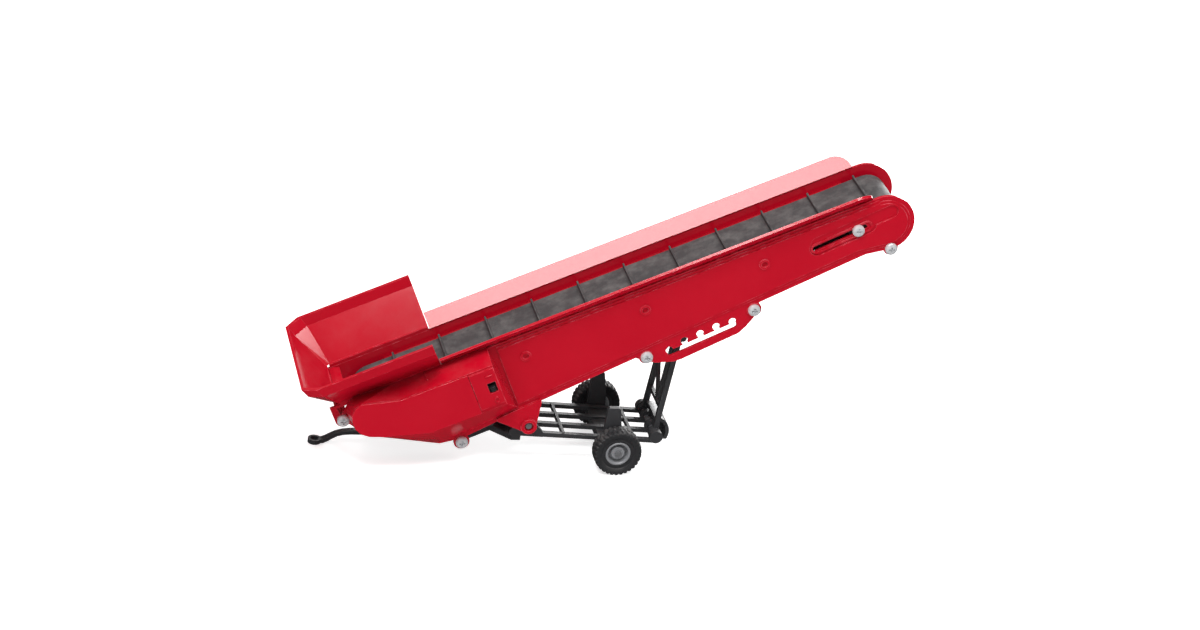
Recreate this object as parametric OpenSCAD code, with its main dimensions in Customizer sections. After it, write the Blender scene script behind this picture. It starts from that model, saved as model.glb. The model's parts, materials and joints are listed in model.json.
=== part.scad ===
// Toy belt conveyor on a two-wheeled drawbar chassis, 1:32 scale, sizes in millimetres.
// Origin: centre of the towing eye at ground level. +X runs from the eye to the discharge head,
// +Y to the right-hand side seen from the tail, +Z up. Names ending in _near lie on the -Y side.

/* [Belt] */
// Distance between the drive roller and the head roller
belt_span = 344.4; // [290:0.1:420]
// Width of the belt
belt_w = 40.6; // [34:0.1:52]
// Thickness of the belt
belt_t = 1.2; // [0.8:0.1:2]
// Radius of the drive and head rollers
roller_r = 12; // [10:0.1:13]
// Height of a cleat above the belt
cleat_h = 3; // [1.5:0.1:4]
// Thickness of a cleat
cleat_t = 2; // [1:0.1:3]
// Nominal spacing of the cleats
cleat_pitch = 32; // [20:0.5:50]

/* [Side panels] */
// Gap between the belt edge and the panel
side_gap = 3.4; // [2.6:0.1:5]
// Thickness of the panel's border flange
panel_t = 1.8; // [1.4:0.1:2.6]
// Height of the raised field above the border flange
field_t = 1.0; // [0.4:0.1:1.6]
// Radius of the rounded head end
head_r = 19.3; // [18:0.1:22]
// Width of the flared guard measured up the slope
guard_w = 11.8; // [6:0.1:16]
// Angle of the flared guard from level
guard_a = 42; // [30:1:60]
// Thickness of the flared guard
guard_t = 1.6; // [1.2:0.1:2.4]

/* [Chassis] */
// Inclination of the belt at rest
tilt = 25.5; // [20:0.5:30]
// Distance of the tilt pivot behind the towing eye
pivot_x = 133; // [125:0.5:140]
// Height of the tilt pivot
pivot_z = 29.6; // [27:0.1:33]
// Distance of the strut pivot behind the towing eye
strut_x = 220.9; // [216:0.1:226]
// Height of the strut pivot
strut_z = 20; // [18:0.1:22]
// Distance of the wheel axle behind the towing eye
axle_x = 192.4; // [186:0.1:198]
// Width of one frame bar
bar_w = 3.2; // [2:0.1:4]
// Height of one frame bar
bar_h = 3.2; // [2.2:0.1:4]
// Outer radius of the towing eye
eye_r = 4.3; // [3.8:0.1:5.5]
// Bore radius of the towing eye
eye_bore_r = 2.6; // [2:0.1:3]
// Thickness of the towing eye
eye_t = 3; // [2:0.1:3.6]

/* [Wheels] */
// Tyre diameter over the tread
tyre_d = 31.4; // [26:0.1:38]
// Tyre width
tyre_w = 10.6; // [8:0.1:13]
// Radius of the rim seat
rim_r = 8.3; // [6.8:0.1:8.6]
// Gap between the axle tower and the tyre
wheel_gap = 1.3; // [0.8:0.1:3]
// Tread blocks around each shoulder
tread_n = 20; // [12:1:26]

/* [Hopper] */
// Hopper length along the belt
hopper_l = 84; // [60:0.5:100]
// Half width at the hopper's upper bend
hopper_half = 47.4; // [42:0.1:56]
// Height of the upper bend above the pivot line
hopper_bend_w = 86.3; // [80:0.1:92]
// Height of the rim above the pivot line
hopper_top_w = 93.6; // [90:0.1:100]
// Hopper wall thickness
hopper_t = 1.8; // [1.2:0.1:2.6]

/* [Drive] */
// Radius of an AA cell
cell_r = 7.25; // [6:0.05:7.3]
// Length of an AA cell without its tip
cell_l = 49.2; // [40:0.1:50]
// Radius of the motor
motor_r = 8; // [6:0.1:8.4]
// Radius of the motor pulley
motor_pulley_r = 2.6; // [2:0.1:4]
// Radius of the roller pulley
drive_pulley_r = 8.5; // [6:0.1:10]

/* [Fits] */
// Radial clearance of a turning fit
run_c = 0.05; // [0.01:0.01:0.1]
// Side clearance between parts that move past each other
side_c = 0.4; // [0.3:0.05:0.8]

/* [Hidden] */
$fn = 48;

// Sections across the conveyor
yi = belt_w / 2 + side_gap;          // inner face of a panel
yf = yi + panel_t;                   // border flange face
yo = yf + field_t;                   // raised field face

// Conveyor frame: origin on the tilt pivot, x up the belt, z square to it
axis_w = 44.8;                       // roller axes above the pivot line
belt_r = roller_r + run_c + belt_t;  // outer radius where the belt turns
tail_u = -84.7;                      // drive roller
head_u = tail_u + belt_span;         // head roller
deck_w = axis_w + roller_r;          // deck surface
top_w = axis_w + head_r;             // panel top edge
low_0 = 12.6;                        // lower panel edge, height at the pivot
low_s = 0.066;                       // and rise per millimetre up the belt
function low(u) = low_0 + low_s * u;

// Cleat positions around the belt loop
mid_r = roller_r + run_c + belt_t / 2;
arc_l = PI * mid_r;
loop_l = 2 * belt_span + 2 * arc_l;
cleat_n = round(loop_l / cleat_pitch);
cleat_0 = 19.5;

// Screw and spacer centres in the conveyor frame
ear_pts = [[-108.4, 53], [-43.8, 6.3], [86.6, 15.9], [161.9, 20.1], [head_u - 1.5, axis_w - 18.6]];
spacer_r = [3.2, 3.2, 3.2, 3.2, 2.2];
ear_r = [5, 5.2, 5, 5.2, 4.8];
shank_r = 1.2;
tension_u = head_u - 18.4;
tension_w = 47.7;
tie_u = [14.3, 95.8, 177.3];
tie_w = deck_w - 7.4;
tie_r = 3;

// Locking slot
notch_u = [102, 113.1, 124.2, 135.4, 146.4];
slot_a = atan(2.4 / 44);
slot_w0 = 12;                        // height of the slot's centre line at its first end
slot_r = 1.9;
notch_up = 4.3;
notch_r = 2.5;
lock_r = 2.2;
rest_notch = 1;
lock_u = notch_u[rest_notch];
lock_w = slot_w0 + (lock_u - notch_u[0]) * tan(slot_a) + notch_up;

// Strut geometry worked from the rest notch
lock_x = pivot_x + lock_u * cos(tilt) - lock_w * sin(tilt);
lock_z = pivot_z + lock_u * sin(tilt) + lock_w * cos(tilt);
strut_l = norm([lock_x - strut_x, lock_z - strut_z]);
strut_a = atan2(lock_x - strut_x, lock_z - strut_z);
leg_y = belt_w / 2 - 5.1;
leg_w = 3.8;
boss_r = 4.4;

// Wheels
axle_z = tyre_d / 2;
axle_r = 1.6;
carrier_h = 2.2;                     // top of the axle carrier above the axle
tower_y = yi + 2.6;                  // outer face of an axle tower
wheel_y = tower_y + wheel_gap + tyre_w / 2;

// Chassis bars
rail_y = belt_w / 2 - 0.3;
bar_y = [-rail_y, -rail_y / 3, rail_y / 3, rail_y];

// Pod
pod_y = yo + 17;                     // outer face of the battery door
door_t = 1.4;
body_y = pod_y - door_t - 0.1;
split_u = -24.3;                     // joint between the door and the switch plate
cell_y = body_y - cell_r - 0.95;
cell_w = [40, 40 + 2 * cell_r + 0.15];
cell_u = -70.5;
bay_r = cell_r + 0.25;
bay_u = cell_u - 3.4;                // tail end of the battery bay
bay_l = cell_l + 6;
switch_u = -12.4;
switch_w = 46.4;
switch_throw = 3;

motor_u = -50;
motor_w = 19.6;
pulley_y = yi - 2.8;

red = [0.78, 0.05, 0.11];
red_in = [0.72, 0.04, 0.1];
grey = [0.27, 0.27, 0.29];
steel = [0.8, 0.81, 0.82];
rubber = [0.13, 0.13, 0.13];

// ---------- placement ----------

// Places children from the conveyor frame into the part frame.
module conveyor() {
    translate([pivot_x, 0, pivot_z])
        rotate([0, -tilt, 0])
            children();
}

// Stands a flat outline up as a plate lying from y0 to y0 + t.
module plate(y0, t) {
    translate([0, y0 + t, 0])
        rotate([90, 0, 0])
            linear_extrude(t)
                children();
}

// A rod along Y between y0 and y1 at x, z.
module rod(x, z, r, y0, y1, fn = 48) {
    translate([x, y0, z])
        rotate([-90, 0, 0])
            cylinder(r = r, h = y1 - y0, $fn = fn);
}

// Flat slot outline between two points.
module slot2d(a, b, r) {
    d = b - a;
    translate(a)
        rotate(atan2(d[1], d[0])) {
            translate([0, -r])
                square([norm(d), 2 * r]);
            circle(r = r);
            translate([norm(d), 0])
                circle(r = r);
        }
}

// Flat outline round both pulleys, standing off by the given amount.
module band2d(off) {
    hull() {
        translate([motor_u, motor_w])
            circle(r = motor_pulley_r + off, $fn = 96);
        translate([tail_u, axis_w])
            circle(r = drive_pulley_r + off, $fn = 96);
    }
}

// ---------- side panels ----------

// Lower edge and overall outline of a panel.
module panel_outline() {
    polygon([
        [-113.4, top_w], [-113.4, 53], [-105.4, 48], [-99, 36.4], [-57.4, 10.9], [-50, 9.6],
        [-38, 8.9], [-19, 10.7], [12, low(12)], [80, low(80)], [167, low(167)],
        [head_u - 18, low(head_u - 18)], [head_u - 6, axis_w - head_r + 0.9], [head_u, axis_w - head_r],
        [head_u, top_w]
    ]);
    translate([head_u, axis_w])
        circle(r = head_r, $fn = 96);
    for (i = [0:4])
        translate(ear_pts[i])
            circle(r = ear_r[i]);
    polygon([
        [80, 17.5], [90.5, 9.4], [102, 5.2], [107.5, 4.8],
        [147.6, 7.6], [153.4, 10.2], [166.5, 18.4], [166.5, 26]
    ]);
}

// Through openings in both panels: locking slot, screw holes and the tension slot.
module panel_holes() {
    a = [notch_u[0], slot_w0];
    b = [notch_u[4], slot_w0 + (notch_u[4] - notch_u[0]) * tan(slot_a)];
    slot2d(a, b, slot_r);
    for (i = [0:4])
        let (u = notch_u[i], w = slot_w0 + (u - notch_u[0]) * tan(slot_a)) {
            translate([u, w + notch_up - (i == 0 ? 2 : i == 4 ? 1.4 : 0)])
                circle(r = notch_r);
            translate([u - 1.8, w])
                square([3.6, notch_up - (i == 0 || i == 4 ? 2 : 0)]);
        }
    for (i = [0:4])
        translate(ear_pts[i])
            circle(r = shank_r);
    translate([tail_u, axis_w])
        circle(r = 2.5 + run_c);
    slot2d([head_u - 48.4, 45.9], [head_u - 13.6, 47.9], 1.7);
    polygon([[-109.4, 62.4], [-101, 62.4], [-108.6, 56.9]]);
}

// Raised field, smaller than the flange by the given step.
module field_outline(step) {
    polygon([
        [-1.4, top_w - 1.6 - step], [-1.4, low(0) + 5.2], [12, low(12) + 3.4 + step],
        [head_u - 22, low(head_u - 22) + 3.4 + step], [head_u - 5, axis_w - head_r + 3.6 + step],
        [head_u, axis_w - head_r + 3 + step], [head_u, top_w - 1.6 - step]
    ]);
    translate([head_u, axis_w])
        circle(r = head_r - 3 - step, $fn = 96);
}

// Sunk field round the tension slot.
module tension_field() {
    slot2d([head_u - 45.6, 49.2], [head_u + 5.6, 52], 4.6);
    slot2d([head_u - 46.6, 46.2], [head_u - 11.4, 48.2], 5.4);
}

// Flared guard strip with its rounded head end, lying in its own plane.
module guard_strip() {
    u0 = -37.4;
    ue = head_u - 3;
    intersection() {
        union() {
            translate([u0, 0])
                square([ue - guard_w - u0, guard_w]);
            translate([ue - guard_w, 0])
                circle(r = guard_w, $fn = 64);
        }
        translate([u0, 0])
            square([ue - u0, guard_w + 1]);
    }
}

// One panel on the +Y side with its guard, lug, ears, field and slots.
module panel() {
    difference() {
        union() {
            plate(yi, panel_t)
                panel_outline();
            plate(yf, field_t / 2)
                field_outline(0);
            plate(yf, field_t)
                field_outline(1.9);
            for (i = [0:4])
                rod(ear_pts[i][0], ear_pts[i][1], ear_r[i] - 0.6, yf, yf + 0.5);
            for (u = tie_u)
                rod(u, tie_w, 3.4, yo, yo + 0.8);
            // lug with its round boss
            plate(yi, 3.5)
                polygon([[-17.5, 11.4], [-17.5, 13.2], [-8, 14.2], [13.5, 15], [13.5, low(13)], [5.1, -1.2], [-3.6, -3.6]]);
            rod(0, 0, 5.2, yi, yi + 4.9);
            // guard
            translate([0, yi + 0.3, top_w - 0.1])
                rotate([guard_a, 0, 0])
                    linear_extrude(guard_t)
                        guard_strip();
            translate([-37, yi, top_w - 0.4])
                cube([head_u + 33.6, panel_t, 0.55]);
        }
        plate(yi - 1, 12)
            panel_holes();
        for (u = tie_u)
            rod(u, tie_w, 2.1, yo - 0.5, yo + 1);
        plate(yf + 0.1, 2)
            tension_field();
        rod(0, 0, 2 + run_c, yi - 1, yi + 6);
        rod(0, 0, 3.1, yi + 2.2, yi + 6);
    }
    // rim round the slot inside the sunk field
    difference() {
        plate(yf, 0.8)
            slot2d([head_u - 47.2, 46], [head_u - 12.2, 48], 3.7);
        plate(yf - 1, 3)
            slot2d([head_u - 47.2, 46], [head_u - 12.2, 48], 2.8);
    }
}

module panel_far() {
    color(red)
        conveyor()
            panel();
}

module panel_near() {
    color(red)
        conveyor()
            mirror([0, 1, 0])
                panel();
}

// ---------- inner structure of the conveyor ----------

module belt_deck() {
    color(red_in)
        conveyor()
            union() {
                translate([tail_u + 13, -yi, deck_w - 1.6])
                    cube([belt_span - 26, 2 * yi, 1.6]);
                for (y = [-12, 12])
                    translate([tail_u + 16, y - 0.7, deck_w - 3.4])
                        cube([belt_span - 32, 1.4, 1.9]);
            }
}

module tie_tube(i) {
    color(red_in)
        conveyor()
            difference() {
                rod(tie_u[i], tie_w, tie_r, -yi, yi);
                rod(tie_u[i], tie_w, 1.6, -yi - 1, yi + 1);
            }
}

module spacer(i) {
    color(red_in)
        conveyor()
            difference() {
                rod(ear_pts[i][0], ear_pts[i][1], spacer_r[i], -yi, yi);
                rod(ear_pts[i][0], ear_pts[i][1], shank_r, -yi - 1, yi + 1);
            }
}

// Pan-head screw with a cross recess; its head bears at y0, its shank runs inwards.
module screw(u, w, y0, len) {
    difference() {
        union() {
            rod(u, w, 4, y0, y0 + 1.3);
            translate([u, y0 + 1.3, w])
                rotate([-90, 0, 0])
                    rotate_extrude()
                        polygon([[0, 0], [4, 0], [3.6, 0.7], [2.8, 1.2], [1.6, 1.5], [0, 1.6]]);
            rod(u, w, shank_r, y0 - len, y0 + 0.1);
        }
        for (a = [20, 110])
            translate([u, y0 + 2.1, w])
                rotate([0, a, 0])
                    translate([-2, -0.8, -0.6])
                        cube([4, 3.2, 1.2]);
    }
}

module screw_far(i) {
    color(steel)
        conveyor()
            screw(ear_pts[i][0], ear_pts[i][1], yf + 0.5, 14);
}

module screw_near(i) {
    color(steel)
        conveyor()
            mirror([0, 1, 0])
                screw(ear_pts[i][0], ear_pts[i][1], yf + 0.5, 14);
}

module tension_screw_far() {
    color(steel)
        conveyor()
            screw(tension_u, tension_w, yf + 0.8, 4.8);
}

module tension_screw_near() {
    color(steel)
        conveyor()
            mirror([0, 1, 0])
                screw(tension_u, tension_w, yf + 0.8, 4.8);
}

// Sliding plate that carries the head shaft, clamped by the tension screw.
module tension_plate() {
    difference() {
        plate(yi - 2.7, 2.7)
            union() {
                slot2d([head_u, axis_w], [tension_u, 46.6], 5.6);
            }
        rod(head_u, axis_w, 2, yi - 4, yi + 1);
        rod(tension_u, tension_w, shank_r, yi - 4, yi + 1);
    }
}

module tension_plate_far() {
    color(grey)
        conveyor()
            tension_plate();
}

module tension_plate_near() {
    color(grey)
        conveyor()
            mirror([0, 1, 0])
                tension_plate();
}

// ---------- belt and rollers ----------

module loop2d(r) {
    translate([tail_u, axis_w - r])
        square([belt_span, 2 * r]);
    translate([tail_u, axis_w])
        circle(r = r, $fn = 96);
    translate([head_u, axis_w])
        circle(r = r, $fn = 96);
}

// One cleat outline at distance s round the loop.
module cleat2d(s) {
    if (s < belt_span)
        translate([tail_u + s, axis_w])
            cleat_bar();
    else if (s < belt_span + arc_l)
        translate([head_u, axis_w])
            rotate(-(s - belt_span) / mid_r * 180 / PI)
                cleat_bar();
    else if (s < 2 * belt_span + arc_l)
        translate([head_u - (s - belt_span - arc_l), axis_w])
            rotate(180)
                cleat_bar();
    else
        translate([tail_u, axis_w])
            rotate(180 - (s - 2 * belt_span - arc_l) / mid_r * 180 / PI)
                cleat_bar();
}

module cleat_bar() {
    h0 = roller_r + run_c + belt_t / 2;
    h1 = belt_r + cleat_h;
    polygon([
        [-cleat_t * 0.7, h0], [cleat_t * 0.7, h0], [cleat_t * 0.5, belt_r + 0.8],
        [cleat_t * 0.35, h1], [-cleat_t * 0.35, h1], [-cleat_t * 0.5, belt_r + 0.8]
    ]);
}

module belt() {
    color(rubber)
        conveyor() {
            plate(-belt_w / 2, belt_w)
                difference() {
                    loop2d(belt_r);
                    loop2d(roller_r + run_c);
                }
            plate(-belt_w / 2 + 0.5, belt_w - 1)
                for (i = [0:cleat_n - 1])
                    cleat2d(cleat_0 + i * loop_l / cleat_n > loop_l
                        ? cleat_0 + i * loop_l / cleat_n - loop_l
                        : cleat_0 + i * loop_l / cleat_n);
        }
}

module drive_roller() {
    color(grey)
        conveyor() {
            rod(tail_u, axis_w, roller_r, -belt_w / 2 + 0.2, belt_w / 2 - 0.2, 96);
            rod(tail_u, axis_w, 2.5, -yf + 0.2, yf - 0.2);
        }
}

module drive_pulley() {
    color(steel)
        conveyor()
            difference() {
                rod(tail_u, axis_w, drive_pulley_r, pulley_y, pulley_y + 2.4, 64);
                rod(tail_u, axis_w, 2.5, pulley_y - 1, pulley_y + 4);
            }
}

module head_shaft() {
    color(steel)
        conveyor()
            rod(head_u, axis_w, 2, -yi + 0.1, yi - 0.1);
}

module head_roller() {
    color(grey)
        conveyor()
            difference() {
                rod(head_u, axis_w, roller_r, -belt_w / 2 + 0.2, belt_w / 2 - 0.2, 96);
                rod(head_u, axis_w, 2 + run_c, -belt_w, belt_w);
            }
}

module motor() {
    color(steel)
        conveyor()
            difference() {
                union() {
                    rod(motor_u, motor_w, motor_r, -6, pulley_y - 1.6);
                    rod(motor_u, motor_w, 3, pulley_y - 1.6, pulley_y - 0.6);
                    rod(motor_u, motor_w, 2.6, -7.4, -6);
                }
                rod(motor_u, motor_w, 1 + run_c, pulley_y - 10, pulley_y);
            }
}

module motor_mount() {
    color(red_in)
        conveyor()
            difference() {
                union() {
                    translate([motor_u - 11, yi - 9.7, motor_w - 9])
                        cube([22, 3, 17.2]);
                    translate([motor_u - 11, yi - 9.7, motor_w - 9])
                        cube([2.4, 9.7, 17.2]);
                    translate([motor_u + 8.6, yi - 9.7, motor_w - 9])
                        cube([2.4, 9.7, 17.2]);
                }
                rod(motor_u, motor_w, motor_r, yi - 12, yi + 1);
                plate(yi - 6.8, 8)
                    slot2d([motor_u, motor_w], [motor_u - 20, motor_w + 15], 8);
            }
}

module motor_pulley() {
    color(steel)
        conveyor() {
            rod(motor_u, motor_w, motor_pulley_r, pulley_y, pulley_y + 2.4);
            rod(motor_u, motor_w, 1, pulley_y - 9.5, pulley_y + 0.1);
        }
}

// Rubber band from the motor pulley to the roller pulley.
module drive_band() {
    color(rubber)
        conveyor()
            difference() {
                plate(pulley_y + 0.3, 1.8)
                    band2d(1.25);
                plate(pulley_y - 1, 5)
                    band2d(run_c);
            }
}

// ---------- hopper ----------

// Chamfers of the hopper's tail corners at its base, along and across the belt.
base_cu = 2;
base_cy = 2;

// Chamfered plan outline of the hopper at one level.
module hopper_plan(u_tail, half, cu, cy, u_head) {
    polygon([
        [u_head, -half], [u_head, half], [u_tail + cu, half], [u_tail, half - cy],
        [u_tail, -half + cy], [u_tail + cu, -half]
    ]);
}

module hopper_solid(t, u_head) {
    u_end = -37.8;
    u_bend = u_end - hopper_l;
    base_w = top_w + 2.2;
    hull() {
        translate([0, 0, base_w - (t > 0 ? 0.8 : 0)])
            linear_extrude(0.01)
                hopper_plan(u_bend + 12.5 + t, yf + 0.6 - t, base_cu, base_cy, u_head);
        translate([0, 0, hopper_bend_w + t * 0.4])
            linear_extrude(0.01)
                hopper_plan(u_bend + t, hopper_half - t, 9, 7, u_head);
    }
    hull() {
        translate([0, 0, hopper_bend_w + t * 0.4])
            linear_extrude(0.01)
                hopper_plan(u_bend + t, hopper_half - t, 9, 7, u_head);
        translate([0, 0, hopper_top_w + (t > 0 ? 0.5 : 0)])
            linear_extrude(0.01)
                hopper_plan(u_bend - 2.2 + t, hopper_half + 2 - t, 9, 7, u_head);
    }
}

module hopper() {
    u_end = -37.8;
    base_w = top_w + 2.2;
    color(red)
        conveyor() {
            difference() {
                hopper_solid(0, u_end);
                hopper_solid(hopper_t, u_end + 5);
            }
            // skirts standing on the panels and across the tail
            for (y = [-yi - panel_t, yi])
                translate([u_end - hopper_l + 13.5 + base_cu, y, top_w])
                    cube([hopper_l - 13.5 - base_cu, panel_t, 2.4]);
            translate([u_end - hopper_l + 12.5, base_cy + 0.6 - yi - panel_t, top_w - 5])
                cube([1.8, 2 * (yi + panel_t - base_cy - 0.6), 7.4]);
        }
}

module tail_cover() {
    color(red)
        conveyor()
            plate(-yi + 0.2, 2 * yi - 0.4)
                polygon([
                    [-107.5, 62], [-107.5, 63.8], [-104.4, 64], [-100.4, 62.2], [-100.8, 60.8], [-104.6, 62.4]
                ]);
}

// ---------- battery pod ----------

function face_low(u) = u < -59.6 ? 31.7 + (-59.6 - u) * 0.335 : 31.7 - (u + 59.6) * 0.02;

module pod_main(y, grow, face) {
    translate([0, y, 0])
        rotate([90, 0, 0])
            linear_extrude(0.01)
                if (face)
                    polygon([
                        [-99 - grow, 61.4 + grow], [-102.2 - grow, 57], [-102.2 - grow, 53.5],
                        [-100 - grow, 48.6], [-96, 45 - grow], [-87.4, 41 - grow],
                        [-59.6, 31.7 - grow], [-8 + grow, 30.8 - grow], [-8 + grow, 60.6 + grow]
                    ]);
                else
                    polygon([
                        [-100, 65.2], [-104.4, 60.5], [-105, 54], [-103, 46], [-99, 36.4],
                        [-57.4, 11.4], [-54.2, 10.8], [-8, 14.6], [-1.8, 15.2], [-6.4, 62], [-7, 65.2]
                    ]);
}

module pod_tail(y, grow, face) {
    translate([0, y, 0])
        rotate([90, 0, 0])
            linear_extrude(0.01)
                if (face)
                    polygon([
                        [-93, 68.3 + grow], [-97.5, 66.9 + grow], [-100.8 - grow, 63.5], [-102.4 - grow, 58.5],
                        [-102.2 - grow, 53.5], [-72, 45], [-69.5, 61.2 + grow]
                    ]);
                else
                    polygon([[-97, 66], [-102, 63.5], [-104.8, 58], [-104.8, 50], [-70, 40], [-69, 65.2]]);
}

module pod_body() {
    color(red)
        conveyor()
            difference() {
                union() {
                    hull() {
                        pod_main(-yf, 0, false);
                        pod_main(-body_y + 0.01, 0.3, true);
                    }
                    hull() {
                        pod_tail(-yf, 0, false);
                        pod_tail(-body_y + 0.01, 0.3, true);
                    }
                    // switch plate standing proud of the body
                    translate([split_u, -pod_y, 33.4])
                        cube([16.3, 3, 26.4]);
                }
                // battery bay
                for (w = cell_w)
                    translate([bay_u, -cell_y, w])
                        rotate([0, 90, 0])
                            cylinder(r = bay_r, h = bay_l);
                translate([bay_u, -body_y - 1, cell_w[0]])
                    cube([bay_l - 4.3, body_y - cell_y + bay_r, cell_w[1] - cell_w[0]]);
                translate([bay_u + bay_l - 4.4, -body_y + 2.8, cell_w[0]])
                    cube([4.4, body_y - cell_y + bay_r - 3.8, cell_w[1] - cell_w[0]]);
                // relief round the tail screw
                rod(ear_pts[0][0], ear_pts[0][1], ear_r[0] - 0.2, -yf - 4, -yf + 0.5);
                // switch bay and window
                translate([switch_u - 4.4, -body_y + 0.2, switch_w - 8.4])
                    cube([8.8, 6, 16.8]);
                translate([switch_u - 2.8, -pod_y - 1, switch_w - 3.8])
                    cube([5.6, 5, 7.6]);
            }
}

module battery_door() {
    ue = split_u - 0.3;
    color(red)
        conveyor()
            plate(-pod_y, door_t)
                polygon([
                    [-93, 68.6], [-97.6, 67.1], [-101.1, 63.6], [-102.7, 58.5], [-102.5, 53.5], [-100.3, 48.5],
                    [-96.1, 44.7], [-87.4, 40.7], [-59.6, 31.4], [ue, 31.1], [ue, 60.9], [-69.5, 61.5]
                ]);
}

module switch_body() {
    color(rubber)
        conveyor()
            difference() {
                translate([switch_u - 4.2, -body_y + 0.3, switch_w - 8.2])
                    cube([8.4, 5.4, 16.4]);
                translate([switch_u - 2.4, -body_y - 1, switch_w - 3.7])
                    cube([4.8, 3.6, 7.4]);
            }
}

module switch_slider() {
    w0 = switch_w - switch_throw / 2;
    color(rubber)
        conveyor() {
            translate([switch_u - 2.1, -body_y + 0.7, w0 - 1.9])
                cube([4.2, 1.6, 3.8]);
            translate([switch_u - 1.4, -pod_y + 0.2, w0 - 1.6])
                cube([2.8, door_t + 0.8, 3.2]);
            for (k = [-1, 0, 1])
                translate([switch_u - 1.4, -pod_y - 0.1, w0 + k * 1.2 - 0.3])
                    cube([2.8, 0.5, 0.6]);
        }
}

module cell(w) {
    color([0.16, 0.3, 0.2])
        conveyor()
            translate([cell_u, -cell_y, w])
                rotate([0, 90, 0]) {
                    cylinder(r = cell_r, h = cell_l);
                    translate([0, 0, cell_l])
                        cylinder(r = 2.7, h = 1);
                }
}

module contacts(u, h) {
    color(steel)
        conveyor()
            for (w = cell_w)
                translate([u, -cell_y, w])
                    rotate([0, 90, 0])
                        cylinder(r1 = h > 1.5 ? 4.6 : 5, r2 = h > 1.5 ? 3 : 5, h = h);
}

// ---------- chassis ----------

// Height of the long bars, which pass over the axle carrier.
function rail_z(x) = axle_z + 5.2 - (x - 128) * 0.049;

// Underside of the cross plate, where the drawbar seats.
plate_z = rail_z(128) - 4.9;

// Side view of one long bar.
module rail_outline(x0) {
    polygon([
        [x0, rail_z(x0) - bar_h / 2], [strut_x - 2, strut_z - boss_r],
        [strut_x, strut_z - boss_r], [strut_x + 2, strut_z], [strut_x - 4.2, rail_z(strut_x - 4.2) + bar_h / 2],
        [x0, rail_z(x0) + bar_h / 2]
    ]);
}

// Side view of the centre drawbar from the cross plate to the towing eye.
module drawbar_outline() {
    polygon([
        [122, plate_z], [116, plate_z], [112, plate_z - 2], [99, 8.5], [92, 8.2], [70, 8.3], [30, 9.9],
        [22, 9.6], [17, 8.9], [13, 7.6],
        [9.5, 5.7], [7, 4.2], [4.4, eye_t], [2.4, eye_t], [2.4, 0], [5.4, 0.3], [8.4, 1.8], [11, 3.7],
        [14.5, 5.6], [18, 6.6], [23, 7], [30, 7], [70, 5.1], [92, 4.6], [99, 4.8],
        [112, plate_z - 4.8], [122, plate_z - 1]
    ]);
}

module chassis_frame() {
    color(grey)
        difference() {
            union() {
                for (y = bar_y)
                    plate(y - bar_w / 2, bar_w)
                        rail_outline(y == bar_y[0] || y == bar_y[3] ? 122 : 118);
                // bosses of the strut pivot
                for (s = [-1, 1]) {
                    rod(strut_x, strut_z, boss_r, s > 0 ? rail_y - 2.2 : -rail_y - 2.4, s > 0 ? rail_y + 2.4 : -rail_y + 2.2);
                    rod(strut_x, strut_z, boss_r, s * rail_y / 3 - bar_w / 2 - 0.3, s * rail_y / 3 + bar_w / 2 + 0.3);
                }
                // ears of the tilt pivot
                for (s = [-1, 1]) {
                    plate(s * rail_y - bar_w / 2, bar_w)
                        polygon([
                            [122, rail_z(122) - bar_h / 2], [145, rail_z(145) - bar_h / 2],
                            [145, rail_z(145) + bar_h / 2], [pivot_x + 4.9, pivot_z], [pivot_x - 4.9, pivot_z],
                            [122, rail_z(122) + bar_h / 2]
                        ]);
                    rod(pivot_x, pivot_z, 5, s * rail_y - bar_w / 2 - (s < 0 ? yi - side_c - rail_y - bar_w / 2 : 0),
                        s * rail_y + bar_w / 2 + (s > 0 ? yi - side_c - rail_y - bar_w / 2 : 0));
                }
                // cross plate that gathers the bars into the drawbar
                translate([0, 0, plate_z])
                    linear_extrude(4)
                        polygon([
                            [130, rail_y + bar_w / 2], [130, -rail_y - bar_w / 2], [124, -rail_y - bar_w / 2],
                            [106, -3], [106, 3], [124, rail_y + bar_w / 2]
                        ]);
                // cross ribs
                for (x = [158.8, 206])
                    translate([x - 0.9, -rail_y, rail_z(x) - bar_h / 2 + 0.4])
                        cube([1.8, 2 * rail_y, bar_h]);
            }
            rod(pivot_x, pivot_z, 2, -yi, yi);
            rod(strut_x, strut_z, 2, -rail_y - 0.8, rail_y + 0.8);
            // seat for the axle carrier
            translate([axle_x - 9, -rail_y - 5, axle_z - 5])
                cube([13, 2 * rail_y + 10, 5 + carrier_h]);
        }
}

// Drawbar with the towing eye, seated under the cross plate.
module drawbar() {
    color(grey)
        difference() {
            union() {
                translate([108, -2.2, plate_z - 3.6])
                    cube([14, 4.4, 3.6]);
                plate(-2.3, 4.6)
                    drawbar_outline();
                cylinder(r = eye_r, h = eye_t);
            }
            translate([0, 0, -1])
                cylinder(r = eye_bore_r, h = eye_t + 2);
        }
}

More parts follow.
